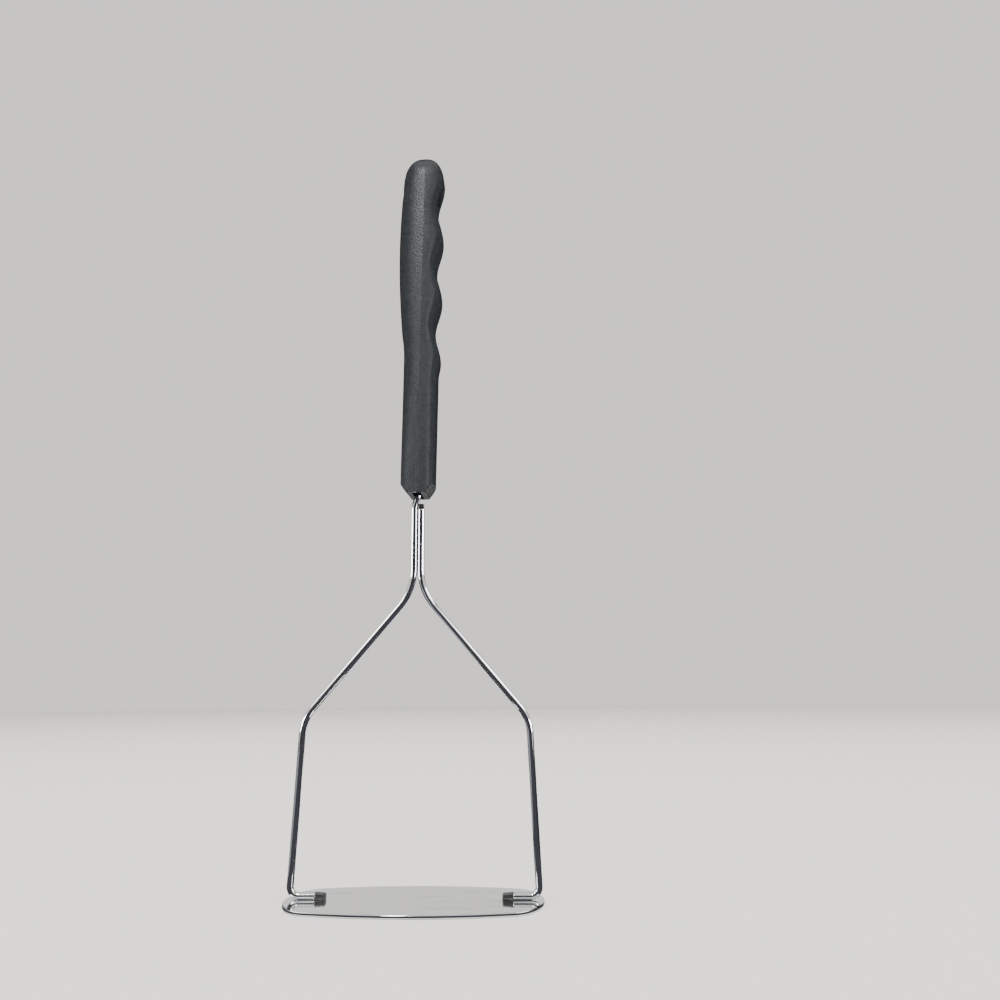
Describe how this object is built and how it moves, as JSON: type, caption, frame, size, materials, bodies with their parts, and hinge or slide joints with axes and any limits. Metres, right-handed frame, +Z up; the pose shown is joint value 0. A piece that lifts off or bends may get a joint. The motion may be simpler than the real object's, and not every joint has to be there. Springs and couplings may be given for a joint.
{
  "type": "potato masher",
  "caption": "Kitchen potato masher with a grooved plastic handle, a bent chromed wire frame and a solid polished mashing plate.",
  "frame": {"origin": "centre of the plate's underside, on the surface that the masher stands on", "axes": "+Z up along the handle, +X to the side with the finger grooves, -Y to the front"},
  "size_m": [0.0918, 0.0446, 0.29],
  "materials": {
    "handle_plastic": "black polypropylene, moulded with a fine grain",
    "chromed_wire": "bright chrome plating on drawn steel wire",
    "polished_plate": "stainless sheet, polished to a mirror",
    "dark_weld": "weld metal left dark by the heat"
  },
  "bodies": {
    "root": {"handle": "handle_plastic", "left_wire": "chromed_wire", "right_wire": "chromed_wire", "mash_plate": "polished_plate", "left_foot_weld": "dark_weld", "right_foot_weld": "dark_weld", "neck_weld": "dark_weld"}
  },
  "joints": []
}
